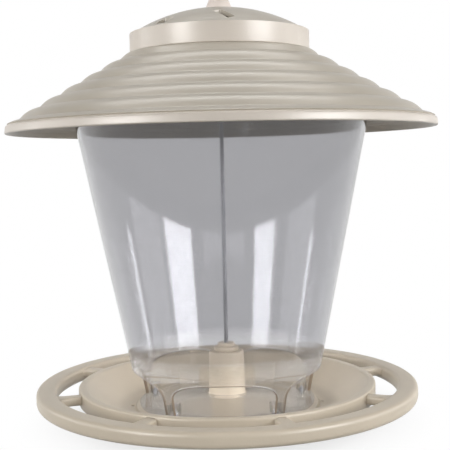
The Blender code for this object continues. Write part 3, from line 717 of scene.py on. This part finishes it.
def floor_finish():
    """White paper: it glows at 1 to the eye and to gloss, mixed near the foot with matt paper that keeps the shadow.
    Bounced light meets a dark grey instead."""
    made = bpy.data.materials.new("studio floor")
    made.use_nodes = True
    nodes, link = made.node_tree.nodes, made.node_tree.links.new
    nodes.remove(nodes["Principled BSDF"])
    glow = nodes.new("ShaderNodeEmission")
    paper, dull = nodes.new("ShaderNodeBsdfDiffuse"), nodes.new("ShaderNodeBsdfDiffuse")
    paper.inputs["Color"].default_value = (0.90, 0.90, 0.90, 1)
    dull.inputs["Color"].default_value = (0.15, 0.146, 0.138, 1)
    place, reach = nodes.new("ShaderNodeTexCoord"), nodes.new("ShaderNodeVectorMath")
    reach.operation = "LENGTH"
    link(place.outputs["Object"], reach.inputs[0])
    near = nodes.new("ShaderNodeMapRange")
    near.interpolation_type = "SMOOTHSTEP"
    near.inputs["From Min"].default_value = 0.05
    near.inputs["From Max"].default_value = 0.13
    near.inputs["To Min"].default_value = 0.40
    near.inputs["To Max"].default_value = 0.0
    link(reach.outputs["Value"], near.inputs["Value"])
    shaded = nodes.new("ShaderNodeMixShader")
    link(near.outputs["Result"], shaded.inputs["Fac"])
    link(glow.outputs["Emission"], shaded.inputs[1])
    link(paper.outputs["BSDF"], shaded.inputs[2])
    ray, pick = nodes.new("ShaderNodeLightPath"), nodes.new("ShaderNodeMixShader")
    link(ray.outputs["Is Diffuse Ray"], pick.inputs["Fac"])
    link(shaded.outputs["Shader"], pick.inputs[1])
    link(dull.outputs["BSDF"], pick.inputs[2])
    link(pick.outputs["Shader"], nodes["Material Output"].inputs["Surface"])
    return made


floor_span = 3.0
floor_mesh = bpy.data.meshes.new("studio_floor")
floor_signs = [(-1, -1), (1, -1), (1, 1), (-1, 1)]
floor_points = [(floor_span * x, floor_span * y, 0) for x, y in floor_signs]
floor_mesh.from_pydata(floor_points, [], [(0, 1, 2, 3)])
floor_mesh.materials.append(floor_finish())
floor = bpy.data.objects.new("studio_floor", floor_mesh)
bpy.context.scene.collection.objects.link(floor)

# The surround is white at 1 to the eye. Bounced light meets a glow that fades with height, and mirrored rays meet a
# dim ceiling that begins higher up behind the object.
surround = bpy.data.worlds.new("studio")
surround.use_nodes = True
nodes, link = surround.node_tree.nodes, surround.node_tree.links.new
white, soft, ceiling = nodes["Background"], nodes.new("ShaderNodeBackground"), nodes.new("ShaderNodeBackground")
white.inputs["Color"].default_value = (1, 1, 1, 1)
white.inputs["Strength"].default_value = 1.0
soft.inputs["Color"].default_value = (1.0, 1.0, 1.0, 1)
ceiling.inputs["Strength"].default_value = 0.15
place, split = nodes.new("ShaderNodeTexCoord"), nodes.new("ShaderNodeSeparateXYZ")
climb = nodes.new("ShaderNodeMapRange")
climb.interpolation_type = "SMOOTHSTEP"
climb.inputs["From Min"].default_value = 0.06
climb.inputs["From Max"].default_value = 0.30
fade = nodes.new("ShaderNodeMapRange")
fade.inputs["From Max"].default_value = 0.60
fade.inputs["To Min"].default_value = 1.0
fade.inputs["To Max"].default_value = 0.04
link(split.outputs["Z"], fade.inputs["Value"])
link(fade.outputs["Result"], soft.inputs["Strength"])
link(place.outputs["Generated"], split.inputs["Vector"])
behind, sunk = nodes.new("ShaderNodeMath"), nodes.new("ShaderNodeMath")
behind.operation, sunk.operation = "MAXIMUM", "MULTIPLY_ADD"
behind.inputs[1].default_value = 0.0
sunk.inputs[1].default_value = -0.48
link(split.outputs["Y"], behind.inputs[0])
link(behind.outputs["Value"], sunk.inputs[0])
link(split.outputs["Z"], sunk.inputs[2])
link(sunk.outputs["Value"], climb.inputs["Value"])
ray, mirrored, high = nodes.new("ShaderNodeLightPath"), nodes.new("ShaderNodeMath"), nodes.new("ShaderNodeMath")
mirrored.operation, mirrored.use_clamp, high.operation = "SUBTRACT", True, "MULTIPLY"
link(ray.outputs["Is Glossy Ray"], mirrored.inputs[0])
link(ray.outputs["Is Transmission Ray"], mirrored.inputs[1])
link(mirrored.outputs["Value"], high.inputs[0])
link(climb.outputs["Result"], high.inputs[1])
above, pick = nodes.new("ShaderNodeMixShader"), nodes.new("ShaderNodeMixShader")
link(high.outputs["Value"], above.inputs["Fac"])
link(white.outputs["Background"], above.inputs[1])
link(ceiling.outputs["Background"], above.inputs[2])
link(ray.outputs["Is Diffuse Ray"], pick.inputs["Fac"])
link(above.outputs["Shader"], pick.inputs[1])
link(soft.outputs["Background"], pick.inputs[2])
link(pick.outputs["Shader"], nodes["World Output"].inputs["Surface"])
bpy.context.scene.world = surround


def lamp(name, turn, rise, distance, width, height, power):
    """A rectangular soft lamp on a sphere round the hopper: turn is counted from the front, rise from level."""
    middle = Vector((0, 0, 0.11))
    light = bpy.data.lights.new(name, "AREA")
    light.shape = "RECTANGLE"
    light.size, light.size_y = width, height
    light.energy = power
    made = bpy.data.objects.new(name, light)
    turn, rise = math.radians(turn), math.radians(rise)
    place = Vector((math.sin(turn) * math.cos(rise), -math.cos(turn) * math.cos(rise), math.sin(rise)))
    made.location = place * distance + middle
    made.rotation_euler = place.to_track_quat("Z", "Y").to_euler()
    made.visible_camera = False
    bpy.context.scene.collection.objects.link(made)
    return made


lamp_distance, card_distance = 1.5, 1.45
lamp("lamp_right", 54, 17, lamp_distance, 0.78, 0.60, 7.8)
lamp("lamp_left", -49, 17, lamp_distance, 0.62, 0.60, 4.6)
lamp("fill_front", 0, 25, lamp_distance, 1.20, 0.40, 4.1).visible_glossy = False
lamp("fill_right", 90, 12, lamp_distance, 0.90, 0.90, 8.2)
lamp("fill_left", -90, 12, lamp_distance, 0.90, 0.90, 7.4)
card_places = [
    (51, 12, 0.76, 0.40, 26), (-46, 12, 0.56, 0.40, 20), (117, 4, 0.15, 0.30, 1.7),
    (-107, 5, 0.11, 0.30, 1.9), (180, 70, 1.60, 0.50, 18),
]
for turn, rise, width, height, power in card_places:
    card = lamp(f"card_{turn}", turn, rise, card_distance, width, height, power)
    card.visible_diffuse = False

camera_data = bpy.data.cameras.new("camera")
camera_data.sensor_width = 36
camera_data.lens = 74.4
camera = bpy.data.objects.new("camera", camera_data)
pan, tip, roll = -0.0016, math.pi / 2 - 0.0636, -0.0225
stand = Matrix.Translation((0, -0.56529, 0.152))
aim = Matrix.Rotation(pan, 4, "Z") @ Matrix.Rotation(tip, 4, "X") @ Matrix.Rotation(roll, 4, "Z")
camera.matrix_world = stand @ aim
bpy.context.scene.collection.objects.link(camera)
bpy.context.scene.camera = camera
bpy.context.scene.view_settings.view_transform = "Standard"
